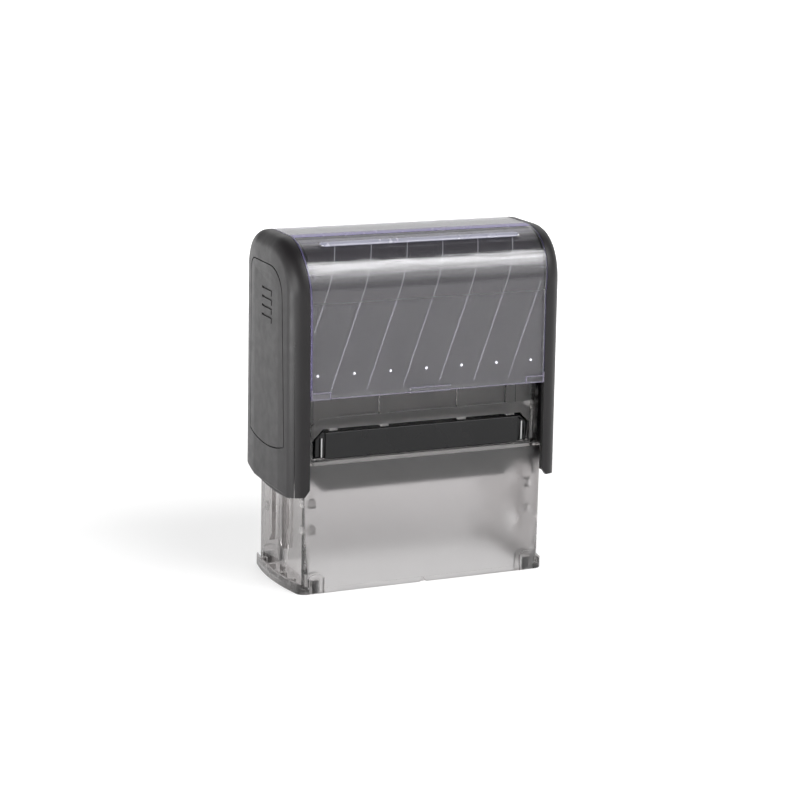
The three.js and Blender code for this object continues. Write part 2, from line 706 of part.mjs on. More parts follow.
const envelope = capEnvelope();
const panel = makeSidePanel(envelope);
add("base_frame", makeBaseFrame(), FINISH.clearBase);
add("return_spring", makeReturnSpring(), FINISH.steel);
add("cartridge_tray", makeCartridgeTray(), FINISH.blackPlastic);
add("ink_pad", makeInkPad(), FINISH.inkPad);
add("cap_housing", makeCapHousing(envelope), FINISH.cap);
add("side_panel_right", panel, FINISH.cap);
add("side_panel_left", mirroredX(panel), FINISH.cap);
add("index_window", makeWindow(), FINISH.clearWindow);
add("index_card", makeCard(), FINISH.card);
add("lock_button", makeLockButton(), FINISH.blackPlastic);
add("yoke", makeYoke(), FINISH.blackPlastic);
add("axle_pin_left", makeAxlePin(-1), FINISH.steel);
add("axle_pin_right", makeAxlePin(1), FINISH.steel);
add("die_carrier", makeDieCarrier(), FINISH.blackPlastic);
add("die_cushion", makeDieCushion(), FINISH.foam);
add("text_plate", makeTextPlate(), FINISH.rubber);
for (const [end, sideX] of [["left", -1], ["right", 1]]) {
  for (const [face, sideY] of [["front", -1], ["back", 1]]) {
    add(`foot_pad_${face}_${end}`, makeFootPad(sideX, sideY), FINISH.footRubber);
  }
}

export default stamp;
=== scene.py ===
# The looks of the self inking stamp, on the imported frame. Metres; lengths written in mm are times MM.
import math

import bmesh
import bpy
from mathutils import Matrix, Vector


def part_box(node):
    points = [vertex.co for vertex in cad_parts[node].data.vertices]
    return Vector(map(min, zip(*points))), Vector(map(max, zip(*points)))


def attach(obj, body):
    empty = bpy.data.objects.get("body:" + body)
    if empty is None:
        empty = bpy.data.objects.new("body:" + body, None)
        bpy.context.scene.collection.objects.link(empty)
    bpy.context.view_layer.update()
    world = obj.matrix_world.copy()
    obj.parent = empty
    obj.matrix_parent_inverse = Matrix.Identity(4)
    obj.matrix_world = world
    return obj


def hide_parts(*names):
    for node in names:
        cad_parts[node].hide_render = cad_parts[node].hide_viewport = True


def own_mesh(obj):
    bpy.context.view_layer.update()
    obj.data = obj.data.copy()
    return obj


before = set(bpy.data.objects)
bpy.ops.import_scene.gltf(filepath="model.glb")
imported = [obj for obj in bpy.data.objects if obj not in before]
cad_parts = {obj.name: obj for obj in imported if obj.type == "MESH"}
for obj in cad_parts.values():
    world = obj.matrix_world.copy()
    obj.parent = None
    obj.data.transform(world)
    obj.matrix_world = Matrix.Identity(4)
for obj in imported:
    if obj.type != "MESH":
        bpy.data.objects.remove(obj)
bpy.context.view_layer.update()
MM = 0.001

# ---------- the camera, at the picture's viewing angle ----------
TARGET = Vector((-0.427, 0, 36.136)) * MM
AZIMUTH, ELEVATION, ROLL = (math.radians(d) for d in (-24.671, 13.294, 1.263))
DISTANCE = 507.5 * MM
LENS = 2415.41 * 36 / 800


def make_camera():
    camera = bpy.data.cameras.new("camera")
    camera.lens = LENS
    camera.sensor_width = 36
    camera.clip_start = 0.01
    camera.clip_end = 50
    holder = bpy.data.objects.new("camera", camera)
    bpy.context.scene.collection.objects.link(holder)
    flat = math.cos(ELEVATION)
    back = Vector((math.sin(AZIMUTH) * flat, -math.cos(AZIMUTH) * flat, math.sin(ELEVATION)))
    right = (-back).cross(Vector((0, 0, 1))).normalized()
    up = right.cross(-back)
    tilted_right = right * math.cos(ROLL) + up * math.sin(ROLL)
    tilted_up = up * math.cos(ROLL) - right * math.sin(ROLL)
    turn = Matrix((tilted_right, tilted_up, back)).transposed()
    holder.matrix_world = Matrix.Translation(TARGET + back * DISTANCE) @ turn.to_4x4()
    bpy.context.scene.camera = holder


make_camera()


# ---------- material helpers ----------
class Look:
    """One material's node tree."""

    def __init__(self, name):
        self.material = bpy.data.materials.new(name)
        self.material.use_nodes = True
        self.nodes = self.material.node_tree.nodes
        self.links = self.material.node_tree.links
        self.nodes.clear()
        self.output = self.nodes.new("ShaderNodeOutputMaterial")
        self.place = self.nodes.new("ShaderNodeTexCoord").outputs["Object"]

    def link(self, source, target):
        self.links.new(source, target)

    def principled(self, colour, roughness, **sockets):
        node = self.nodes.new("ShaderNodeBsdfPrincipled")
        node.inputs["Base Color"].default_value = (*colour, 1)
        node.inputs["Roughness"].default_value = roughness
        for name, value in sockets.items():
            node.inputs[name.replace("_", " ")].default_value = value
        self.link(node.outputs[0], self.output.inputs["Surface"])
        return node

    def noise(self, scale, detail=4, roughness=0.55, stretch=None):
        node = self.nodes.new("ShaderNodeTexNoise")
        node.inputs["Scale"].default_value = scale
        node.inputs["Detail"].default_value = detail
        node.inputs["Roughness"].default_value = roughness
        source = self.place
        if stretch:
            mapping = self.nodes.new("ShaderNodeMapping")
            mapping.inputs["Scale"].default_value = stretch
            self.link(source, mapping.inputs["Vector"])
            source = mapping.outputs[0]
        self.link(source, node.inputs["Vector"])
        return node.outputs["Fac"]

    def spread(self, value, low, high, start=0.3, end=0.7):
        node = self.nodes.new("ShaderNodeMapRange")
        node.inputs["From Min"].default_value = start
        node.inputs["From Max"].default_value = end
        node.inputs["To Min"].default_value = low
        node.inputs["To Max"].default_value = high
        self.link(value, node.inputs["Value"])
        return node.outputs[0]

    def tint(self, value, first, second):
        node = self.nodes.new("ShaderNodeMix")
        node.data_type = "RGBA"
        for socket in node.inputs:
            if socket.type == "RGBA" and socket.name == "A":
                socket.default_value = (*first, 1)
            if socket.type == "RGBA" and socket.name == "B":
                socket.default_value = (*second, 1)
        self.link(value, node.inputs["Factor"])
        return next(s for s in node.outputs if s.type == "RGBA")

    def part(self, axis):
        """One coordinate of the place, without its sign."""
        split = self.nodes.new("ShaderNodeSeparateXYZ")
        self.link(self.place, split.inputs[0])
        size = self.nodes.new("ShaderNodeMath")
        size.operation = "ABSOLUTE"
        self.link(split.outputs[axis], size.inputs[0])
        return size.outputs[0]

    def times(self, first, second):
        node = self.nodes.new("ShaderNodeMath")
        node.operation = "MULTIPLY"
        self.link(first, node.inputs[0])
        self.link(second, node.inputs[1])
        return node.outputs[0]

    def bump(self, height, distance):
        node = self.nodes.new("ShaderNodeBump")
        node.inputs["Strength"].default_value = 1.0
        node.inputs["Distance"].default_value = distance
        self.link(height, node.inputs["Height"])
        return node.outputs[0]

    def passes_lamps(self, shader, tint):
        """Lamps reach what is behind the clear wall, dimmed by tint."""
        through = self.nodes.new("ShaderNodeBsdfTransparent")
        through.inputs["Color"].default_value = (*tint, 1)
        rays = self.nodes.new("ShaderNodeLightPath")
        mix = self.nodes.new("ShaderNodeMixShader")
        self.link(rays.outputs["Is Shadow Ray"], mix.inputs["Fac"])
        self.link(shader.outputs[0], mix.inputs[1])
        self.link(through.outputs[0], mix.inputs[2])
        self.link(mix.outputs[0], self.output.inputs["Surface"])


CLEAR_IOR = 1.49


def moulded(name, dark, light, smooth, rough, grain=0.012, grain_scale=5200, **sockets):
    """Moulded plastic: a spark-eroded grain, slight cloudiness and uneven gloss."""
    look = Look(name)
    shader = look.principled(dark, rough, **sockets)
    cloud = look.noise(90)
    look.link(look.tint(look.spread(cloud, 0, 1), dark, light), shader.inputs["Base Color"])
    wear = look.noise(420, detail=6)
    look.link(look.spread(wear, smooth, rough), shader.inputs["Roughness"])
    fine = look.noise(grain_scale, detail=2)
    look.link(look.bump(fine, grain * MM), shader.inputs["Normal"])
    return look.material


def clear(name, tint, roughness, shadow, ripple=0.0, grain_scale=900, **sockets):
    """Clear plastic that refracts for the eye and lets lamps through."""
    look = Look(name)
    sockets = {"Transmission_Weight": 1.0, **sockets}
    shader = look.principled(tint, roughness, IOR=CLEAR_IOR, **sockets)
    patches = look.noise(260, detail=5)
    low, high = roughness * 0.85, roughness * 1.15 + 0.01
    look.link(look.spread(patches, low, high), shader.inputs["Roughness"])
    waves = look.noise(grain_scale, detail=3)
    look.link(look.bump(waves, ripple * MM), shader.inputs["Normal"])
    look.passes_lamps(shader, shadow)
    return look.material


def make_frosted():
    """The base's wide walls, frosted, with painted shade that makes them a little darker towards the
    table.
    """
    look = Look("frosted_plastic")
    shader = look.principled((0.65, 0.64, 0.635), 0.3, Transmission_Weight=1.0, IOR=CLEAR_IOR)
    patches = look.spread(look.noise(300, detail=3), 0.295, 0.31)
    look.link(patches, shader.inputs["Roughness"])
    # painted shade: the tint darkens the walls from 18 mm down to 2 mm above the table
    rise = look.spread(look.part("Z"), 0, 1, 2 * MM, 18 * MM)
    low, high = (0.585, 0.576, 0.576), (0.665, 0.65, 0.652)
    look.link(look.tint(rise, low, high), shader.inputs["Base Color"])
    grain = look.noise(700, detail=2)
    look.link(look.bump(grain, 0.001 * MM), shader.inputs["Normal"])
    look.passes_lamps(shader, (0.78, 0.77, 0.77))
    return look.material


def make_pane():
    """The window: satin in front, glossy over its shoulder, with long faint waves there."""
    look = Look("window_plastic")
    shader = look.principled((0.965, 0.96, 0.985), 0.085, Transmission_Weight=1.0, IOR=CLEAR_IOR)
    patches = look.spread(look.noise(260, detail=3), 0.98, 1.02)
    blend = look.spread(look.part("Z"), 0.29, 0.06, 60 * MM, 64 * MM)
    look.link(look.times(blend, patches), shader.inputs["Roughness"])
    waves = look.noise(420, detail=2, stretch=(0.09, 1, 1))
    low = look.spread(look.part("Z"), 0, 1, 63 * MM, 67 * MM)
    high = look.spread(look.part("Z"), 1, 0, 70.6 * MM, 71.6 * MM)
    look.link(look.bump(look.times(waves, look.times(low, high)), 0.12 * MM), shader.inputs["Normal"])
    look.passes_lamps(shader, (0.9, 0.9, 0.93))
    return look.material


def make_materials():
    looks = {}
    dark, light = (0.0075, 0.0066, 0.0072), (0.0105, 0.0094, 0.0102)
    looks["cap"] = moulded("cap_plastic", dark, light, 0.34, 0.44, IOR=1.36)
    looks["inner"] = moulded("inner_plastic", (0.005, 0.0048, 0.005), (0.008, 0.0076, 0.008), 0.45, 0.6)
    dark, light = (0.006, 0.006, 0.0064), (0.009, 0.009, 0.0094)
    looks["gloss"] = moulded("gloss_plastic", dark, light, 0.16, 0.26, 0.003, IOR=1.34)
    looks["window"] = make_pane()
    looks["window_edge"] = clear("window_edge", (0.24, 0.19, 0.5), 0.15, (0.7, 0.68, 0.9), 0.01)
    looks["window_lip"] = clear(
        "window_lip", (0.2, 0.185, 0.235), 0.3, (0.8, 0.8, 0.9), 0.01, Transmission_Weight=0.4
    )
    # the rib's pale milky colour is partly a painted highlight along it
    looks["window_rib_and_painted_highlight"] = clear(
        "window_rib_and_painted_highlight", (0.3, 0.3, 0.36), 0.25, (0.8, 0.8, 0.9), 0.01, Transmission_Weight=0.25
    )
    # painted refraction: violet sheets on the window stand in for light bent through its edges
    looks["violet"] = moulded("violet_refraction_band_paint", (0.1, 0.08, 0.21), (0.13, 0.11, 0.25), 0.2, 0.3, 0.002)
    # painted refraction: the darker violet, for the lines up the window's sides
    dark, light = (0.05, 0.042, 0.1), (0.065, 0.055, 0.12)
    looks["violet_dark"] = moulded("violet_refraction_lines_paint", dark, light, 0.2, 0.3, 0.002)
    looks["smoky"] = clear("smoky_plastic", (0.5, 0.482, 0.478), 0.1, (0.75, 0.74, 0.74), 0.012, 90)
    looks["satin"] = clear("smoky_satin", (0.53, 0.512, 0.508), 0.34, (0.75, 0.74, 0.74), 0.002, 400)
    # painted shade: a darker copy of the smoky plastic, for the base's corners, flange rim and side
    # lugs
    looks["smoky_painted_shade"] = clear("smoky_painted_shade", (0.26, 0.25, 0.247), 0.25, (0.5, 0.5, 0.5), 0.012, 90)
    # painted deep shade: the darkest copy of the smoky plastic, for rib ends, bosses and side blocks
    looks["smoky_painted_deep_shade"] = clear("smoky_painted_deep_shade", (0.15, 0.145, 0.145), 0.12, (0.5, 0.5, 0.5), 0.012, 90)
    looks["frosted"] = make_frosted()
    # painted highlight: a paler, less clear copy of the smoky plastic that shows as light lines
    looks["pale_edge_painted_highlight"] = clear(
        "pale_edge_painted_highlight", (0.17, 0.163, 0.16), 0.4, (0.7, 0.7, 0.7), 0.012, 900, Transmission_Weight=0.3
    )
    looks["gleam"] = moulded("gleam", (0.3, 0.3, 0.3), (0.4, 0.4, 0.4), 0.2, 0.35, 0.002)
    dark, light = (0.017, 0.015, 0.018), (0.023, 0.021, 0.024)
    looks["card"] = moulded("card_stock", dark, light, 0.4, 0.55, 0.0004, 900)
    dark, light = (0.24, 0.235, 0.255), (0.31, 0.305, 0.325)
    looks["print_pale"] = moulded("print_pale", dark, light, 0.4, 0.5, 0.0)
    looks["print_white"] = moulded("print_white", (0.8, 0.8, 0.83), (0.9, 0.9, 0.92), 0.4, 0.5, 0.002)
    for name in ("card", "print_pale"):
        looks[name].node_tree.nodes["Principled BSDF"].inputs["Specular IOR Level"].default_value = 0.15
    looks["steel"] = make_steel()
    looks["felt"] = make_felt()
    looks["foam"] = moulded("foam", (0.25, 0.26, 0.28), (0.36, 0.37, 0.39), 0.8, 0.95, 0.08, 1800)
    dark, light = (0.03, 0.03, 0.032), (0.045, 0.045, 0.048)
    looks["die"] = moulded("die_rubber", dark, light, 0.55, 0.75, 0.02, 2600)
    dark, light = (0.012, 0.012, 0.012), (0.02, 0.02, 0.02)
    looks["rubber"] = moulded("foot_rubber", dark, light, 0.6, 0.8, 0.02, 2600)
    return looks


def make_steel():
    look = Look("drawn_steel")
    shader = look.principled((0.62, 0.62, 0.64), 0.25, Metallic=1.0)
    tone = look.noise(700, detail=5)
    dull, bright = (0.55, 0.55, 0.57), (0.7, 0.7, 0.71)
    look.link(look.tint(look.spread(tone, 0, 1), dull, bright), shader.inputs["Base Color"])
    look.link(look.spread(tone, 0.18, 0.34), shader.inputs["Roughness"])
    draw = look.noise(2500, stretch=(1, 1, 6))
    look.link(look.bump(draw, 0.006 * MM), shader.inputs["Normal"])
    return look.material


def make_felt():
    look = Look("ink_felt")
    shader = look.principled((0.008, 0.009, 0.016), 0.7, Sheen_Weight=0.25)
    soak = look.noise(160, detail=6)
    dry, wet = (0.02, 0.021, 0.03), (0.006, 0.006, 0.012)
    look.link(look.tint(look.spread(soak, 0, 1), wet, dry), shader.inputs["Base Color"])
    look.link(look.spread(soak, 0.4, 0.85), shader.inputs["Roughness"])
    fibre = look.noise(5200, detail=6, roughness=0.75)
    look.link(look.bump(fibre, 0.09 * MM), shader.inputs["Normal"])
    return look.material


looks = make_materials()


# ---------- mesh helpers ----------
def new_object(name, mesh):
    piece = bpy.data.objects.new(name, mesh)
    bpy.context.scene.collection.objects.link(piece)
    return piece


def apply_modifiers(piece):
    graph = bpy.context.evaluated_depsgraph_get()
    mesh = bpy.data.meshes.new_from_object(piece.evaluated_get(graph))
    piece.modifiers.clear()
    piece.data = mesh


BEVEL_ANGLE = 30


def soften(piece, bevel, segments=2, sharp=38):
    """Rounds the hard edges and shades the rest smooth."""
    if bevel:
        modifier = piece.modifiers.new("edge", "BEVEL")
        modifier.width = bevel * MM
        modifier.segments = segments
        modifier.limit_method = "ANGLE"
        modifier.angle_limit = math.radians(BEVEL_ANGLE)
        modifier.use_clamp_overlap = True
        apply_modifiers(piece)
    piece.data.shade_smooth()
    piece.data.set_sharp_from_angle(angle=math.radians(sharp))
    modifier = piece.modifiers.new("normals", "WEIGHTED_NORMAL")
    modifier.keep_sharp = True
    apply_modifiers(piece)


def clean_copy(node, name, planes=()):
    """The CAD node's shape as clean faces, cut along planes, each (axis, distance in mm)."""
    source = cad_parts[node]
    mesh = bpy.data.meshes.new(name)
    work = bmesh.new()
    work.from_mesh(source.data)
    bmesh.ops.remove_doubles(work, verts=work.verts, dist=2e-6)
    bmesh.ops.dissolve_limit(work, angle_limit=math.radians(0.6), verts=work.verts, edges=work.edges)
    for axis, distance in planes:
        normal = Vector([1 if i == axis else 0 for i in range(3)])
        everything = work.verts[:] + work.edges[:] + work.faces[:]
        point = normal * distance * MM
        bmesh.ops.bisect_plane(work, geom=everything, dist=1e-6, plane_co=point, plane_no=normal)
    work.to_mesh(mesh)
    work.free()
    return new_object(name, mesh)


def finished_mesh(work, name, look):
    mesh = bpy.data.meshes.new(name)
    work.to_mesh(mesh)
    work.free()
    mesh.materials.append(look)
    return mesh


def skin(work, rings):
    """A closed skin over rings of points, flat at both ends."""
    count = len(rings[0])
    for first, second in zip(rings, rings[1:]):
        for k in range(count):
            after = (k + 1) % count
            work.faces.new((first[k], first[after], second[after], second[k]))
    work.faces.new(rings[0][::-1])
    work.faces.new(rings[-1])
    bmesh.ops.recalc_face_normals(work, faces=work.faces)


def dress(piece, body, *nodes, slot):
    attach(piece, body)
    if nodes:
        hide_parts(*nodes)


def from_node(node, body, look, slot, bevel, segments=2):
    """A CAD node's shape with rounded edges; bevel is in mm."""
    piece = clean_copy(node, f"{node}_visual")
    piece.data.materials.append(look)
    soften(piece, bevel, segments)
    dress(piece, body, node, slot=slot)
    return piece


# ---------- the cap's profile, from its box ----------
cap_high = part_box("cap_housing")[1]
SHOULDER = 10.8 * MM
SHOULDER_Y = 2.4 * MM
SHOULDER_Z = cap_high.z - SHOULDER
LEAN = 0.8 / 41.5
CARD_BOTTOM = 41.8


def front_point(run, inset):
    """A point (y, z) on the cap's front, run along the surface upwards from the card's lower edge."""
    straight = SHOULDER_Z - CARD_BOTTOM * MM
    if run < straight:
        z = CARD_BOTTOM * MM + run
        return -(SHOULDER_Y + SHOULDER + LEAN * (SHOULDER_Z - z) - inset), z
    radius = SHOULDER - inset
    angle = (run - straight) / radius
    if angle < math.pi / 2:
        return -SHOULDER_Y - radius * math.cos(angle), SHOULDER_Z + radius * math.sin(angle)
    return -SHOULDER_Y + (angle - math.pi / 2) * radius, SHOULDER_Z + radius


# ---------- cap ----------
CAP_EDGE = 3 * MM
CAP_SIDE_BOW = 0.9 * MM
SKIN_DEPTH = 0.5 * MM
BACK_SHOULDER = 8 * MM


def cap_depth(point):
    """How deep a point lies under the cap's rounded outside."""
    side = cap_high.x - CAP_SIDE_BOW * (point.y / cap_high.y) ** 2 - abs(point.x)
    if point.y < 0:
        radius, reach = SHOULDER, -point.y
        flat = SHOULDER_Y + SHOULDER + LEAN * max(SHOULDER_Z - point.z, 0)
    else:
        radius, reach, flat = BACK_SHOULDER, point.y, cap_high.y
    over, up = reach - (flat - radius), point.z - (cap_high.z - radius)
    if over > 0 and up > 0:
        front = radius - math.hypot(over, up)
    else:
        front = min(flat - reach, cap_high.z - point.z)
    if side < CAP_EDGE and front < CAP_EDGE:
        return CAP_EDGE - math.hypot(CAP_EDGE - side, CAP_EDGE - front)
    return min(side, front)


def make_cap():
    piece = clean_copy("cap_housing", "cap_housing_visual")
    piece.data.materials.append(looks["cap"])
    piece.data.materials.append(looks["inner"])
    for face in piece.data.polygons:
        face.material_index = 1 if cap_depth(face.center) > SKIN_DEPTH else 0
    soften(piece, 0.18, 3)
    dress(piece, "cap", "cap_housing", slot="cap_black")


make_cap()
from_node("side_panel_left", "cap", looks["cap"], "cap_black", 0.14)
from_node("side_panel_right", "cap", looks["cap"], "cap_black", 0.14)
from_node("lock_button", "lock", looks["cap"], "cap_black", 0.2, 3)
from_node("yoke", "cap", looks["inner"], "inner_black", 0.15)
from_node("axle_pin_left", "cap", looks["steel"], "spring_steel", 0.15)
from_node("axle_pin_right", "cap", looks["steel"], "spring_steel", 0.15)
from_node("index_card", "cap", looks["card"], "card_print", 0)


def bar_between(work, low, high):
    """A box between two corners, in mm."""
    corners = bmesh.ops.create_cube(work, size=1)["verts"]
    low, high = Vector(low) * MM, Vector(high) * MM
    for vert in corners:
        vert.co = Vector((low[i] + (high[i] - low[i]) * (vert.co[i] + 0.5) for i in range(3)))


WINDOW_TOP_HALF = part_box("index_window")[1].x / MM
WINDOW_LOW_HALF = WINDOW_TOP_HALF - 0.7


def window_half(z):
    """Half the window's width at a height in mm; it widens round the shoulder."""
    return WINDOW_LOW_HALF + 0.07 * min(max(z - 60, 0), 10)


def make_window():
    piece = clean_copy("index_window", "index_window_visual")
    for look in ("window", "window_edge"):
        piece.data.materials.append(looks[look])
    for face in piece.data.polygons:
        side = abs(face.normal.x) > 0.9 and abs(face.center.x) > 25 * MM
        below = face.normal.z < -0.9
        behind = face.normal.y > 0.9 and face.center.z > 69 * MM
        face.material_index = 1 if side or below or behind else 0
    soften(piece, 0.08, 2)
    dress(piece, "window", "index_window", slot="window_clear")
    make_window_rib()
    make_window_lips()
    # painted refraction: a violet band along the top and violet lines up the sides
    printed("window_painted_refraction_band", looks["violet"], draw_painted_refraction_band, "window", "window_clear")
    printed("window_painted_refraction_lines", looks["violet_dark"], draw_painted_refraction_lines, "window", "window_clear")
    printed("window_clips", looks["window_lip"], draw_clips, "window", "window_clear")


def make_window_rib():
    """The rounded rib along the front of the window's top; its pale milky look is partly a painted
    highlight.
    """
    half, radius, middle = 22.4, 0.75, math.radians(62.3)
    reach = SHOULDER / MM - 0.08
    work = bmesh.new()
    rings = []
    for i in range(61):
        t = i / 60
        x = -half + 2 * half * t
        tip = min(x + half, half - x, radius)
        width = math.sqrt(max(radius ** 2 - (radius - tip) ** 2, 0.0004))
        ring = []
        for k in range(13):
            a = math.pi * k / 12
            out = reach + 0.34 * math.sin(a) * width / radius
            turn = middle + width * math.cos(a) / reach
            y = -SHOULDER_Y / MM - out * math.cos(turn)
            z = SHOULDER_Z / MM + out * math.sin(turn)
            ring.append(work.verts.new(Vector((x, y, z)) * MM))
        rings.append(ring)
    skin(work, rings)
    piece = new_object("window_rib", finished_mesh(work, "window_rib", looks["window_rib_and_painted_highlight"]))
    soften(piece, 0, sharp=60)
    dress(piece, "window", slot="window_clear")


def boxes(name, look, body, slot, corners, bevel=0.05):
    """One object made of small boxes, each (x0, x1, y0, y1, z0, z1) in mm."""
    work = bmesh.new()
    for x0, x1, y0, y1, z0, z1 in corners:
        bar_between(work, (x0, y0, z0), (x1, y1, z1))
    piece = new_object(name, finished_mesh(work, name, look))
    soften(piece, bevel, 2)
    dress(piece, body, slot=slot)


def make_window_lips():
    """The raised rims moulded along the window's lower edge, its latch and its corners."""
    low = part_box("index_window")[0]
    half, front, bottom = WINDOW_LOW_HALF, low.y / MM, low.z / MM
    skin = front + 0.35
    rims = [(-half, half, skin - 0.12, skin + 0.2, bottom, bottom + 0.2)]
    rims += [(-4.5, 4.5, front, front + 0.3, bottom + z, bottom + z + 0.22) for z in (0, 0.9)]
    for side in (-1, 1):
        for x0, x1, z0, z1 in ((22, 22.2, 0, 1.5), (22, half, 1.3, 1.48), (half - 0.3, half, 0, 2.2)):
            a, b = sorted((side * x0, side * x1))
            rims.append((a, b, skin - 0.28, skin + 0.1, bottom + z0, bottom + z1))
    boxes("window_lips", looks["window_lip"], "window", "window_clear", rims)


# ---------- what lies flat on the card's face and on the window's skin ----------
PRINT_INSET = 0.925 * MM
PRINT_BOTTOM = 0.2
PRINT_HEIGHT = 33.5
CARD_EDGE = 25.6
DISC_POINTS = 14


def print_point(x, run, inset=PRINT_INSET):
    y, z = front_point(run * MM, inset)
    return Vector((x * MM, y, z))


def ribbon(work, points, width):
    """A flat strip along points (x, run), in mm, on the card's face, cut off at its edges."""
    rails = []
    for i, (x, run) in enumerate(points):
        before, after = points[max(i - 1, 0)], points[min(i + 1, len(points) - 1)]
        dx, dr = after[0] - before[0], after[1] - before[1]
        length = math.hypot(dx, dr)
        half = width / 2
        ox, oy = -dr / length * half, dx / length * half
        ends = ((x + ox, run + oy), (x - ox, run - oy))
        if any(abs(a) > CARD_EDGE or not PRINT_BOTTOM <= b <= PRINT_HEIGHT for a, b in ends):
            rails.append(None)
            continue
        rails.append([work.verts.new(print_point(*end)) for end in ends])
    for first, second in zip(rails, rails[1:]):
        if first and second:
            work.faces.new((first[0], first[1], second[1], second[0]))


def straight(x0, run0, x1, run1):
    steps = 60
    return [(x0 + (x1 - x0) * i / steps, run0 + (run1 - run0) * i / steps) for i in range(steps + 1)]


def disc(work, x, run, radius):
    turns = [2 * math.pi * i / DISC_POINTS for i in range(DISC_POINTS)]
    ring = [print_point(x + radius * math.cos(a), run + radius * math.sin(a)) for a in turns]
    work.faces.new([work.verts.new(point) for point in ring])


def printed(name, look, draw, body="cap", slot="card_print"):
    """A thin piece that draw lays on the card or the window, facing outwards."""
    work = bmesh.new()
    draw(work)
    bmesh.ops.recalc_face_normals(work, faces=work.faces)
    for face in work.faces:
        if face.normal.y > 0 and abs(face.normal.y) > abs(face.normal.z) or face.normal.z < -0.5:
            face.normal_flip()
    piece = new_object(name, finished_mesh(work, name, look))
    dress(piece, body, slot=slot)


# ---------- the card's print: a plain even pattern ----------
LINE_PITCH = 8.0
LINE_LEAN = 12.0
LINE_WIDTH = 0.14
LINE_COUNT = 9
FIRST_LINE = -38.0
DOT_RUN = 4.0
DOT_RADIUS = 0.3


def line_start(index):
    return FIRST_LINE + LINE_PITCH * index


def draw_lines(work):
    """Equal slanted lines at one spacing."""
    for index in range(LINE_COUNT):
        x = line_start(index)
        ribbon(work, straight(x, 0, x + LINE_LEAN, PRINT_HEIGHT), LINE_WIDTH)


def draw_dots(work):
    """A row of equal dots, one midway between each two lines."""
    for index in range(LINE_COUNT):
        x = line_start(index) + LINE_LEAN * DOT_RUN / PRINT_HEIGHT + LINE_PITCH / 2
        if abs(x) + DOT_RADIUS < CARD_EDGE:
            disc(work, x, DOT_RUN, DOT_RADIUS)


printed("card_lines", looks["print_pale"], draw_lines)
printed("card_dots", looks["print_white"], draw_dots)


# ---------- painted refraction band and lines, and clips, on the window's skin ---
def sheet(work, ends, runs):
    """A patch on the window's outer skin; ends gives its left and right edge at a height."""
    steps = 40
    rows = []
    for i in range(steps + 1):
        run = runs[0] + (runs[1] - runs[0]) * i / steps
        height = print_point(0, run).z / MM
        rows.append([work.verts.new(print_point(x, run, -0.012 * MM)) for x in ends(height)])
    for first, second in zip(rows, rows[1:]):
        work.faces.new((first[0], first[1], second[1], second[0]))


SHOULDER_RUN = SHOULDER_Z / MM - CARD_BOTTOM
TOP_RUN = SHOULDER_RUN + math.pi / 2 * SHOULDER / MM


def draw_painted_refraction_band(work):
    """A painted violet band along the window's top, standing in for the light that its back edge bends
    there.
    """
    half = WINDOW_TOP_HALF - 0.32
    sheet(work, lambda z: (-half, half), (TOP_RUN - 2.1, TOP_RUN + 0.6))


def side_strip(side, inner, outer):
    """A strip along one side of the window, between two distances in from its edge."""
    return lambda z: sorted((side * (window_half(z) - inner), side * (window_half(z) - outer)))


def draw_painted_refraction_lines(work):
    """Painted violet lines standing in for light bent through the window's edges: one up its left edge,
    and a fainter one up its right edge.
    """
    for side, width in ((-1, 0.28), (1, 0.1)):
        sheet(work, side_strip(side, width, 0), (-0.6, TOP_RUN + 8))


def draw_clips(work):
    """Pale edges of the small clips at the window's sides, where its shoulder starts."""
    runs = [SHOULDER_RUN + 3.2 + 1.05 * i for i in range(4)]
    for side in (-1, 1):
        for run in runs:
            sheet(work, side_strip(side, 1.35, 0.4), (run, run + 0.16))
        sheet(work, side_strip(side, 1.35, 1.2), (runs[0], runs[-1]))


make_window()


# ---------- base ----------
BASE_LOOKS = ("smoky", "frosted", "smoky_painted_shade", "pale_edge_painted_highlight", "smoky_painted_deep_shade", "satin")
WALL_HALF = 24.6


def make_base():
    piece = clean_copy("base_frame", "base_frame_visual", [(0, -WALL_HALF), (0, WALL_HALF)])
    for look in BASE_LOOKS:
        piece.data.materials.append(looks[look])
    for face in piece.data.polygons:
        face.material_index = BASE_LOOKS.index(base_look(face.center / MM, face.normal))
    soften(piece, 0.16, 2)
    dress(piece, "base", "base_frame", slot="smoky_clear")


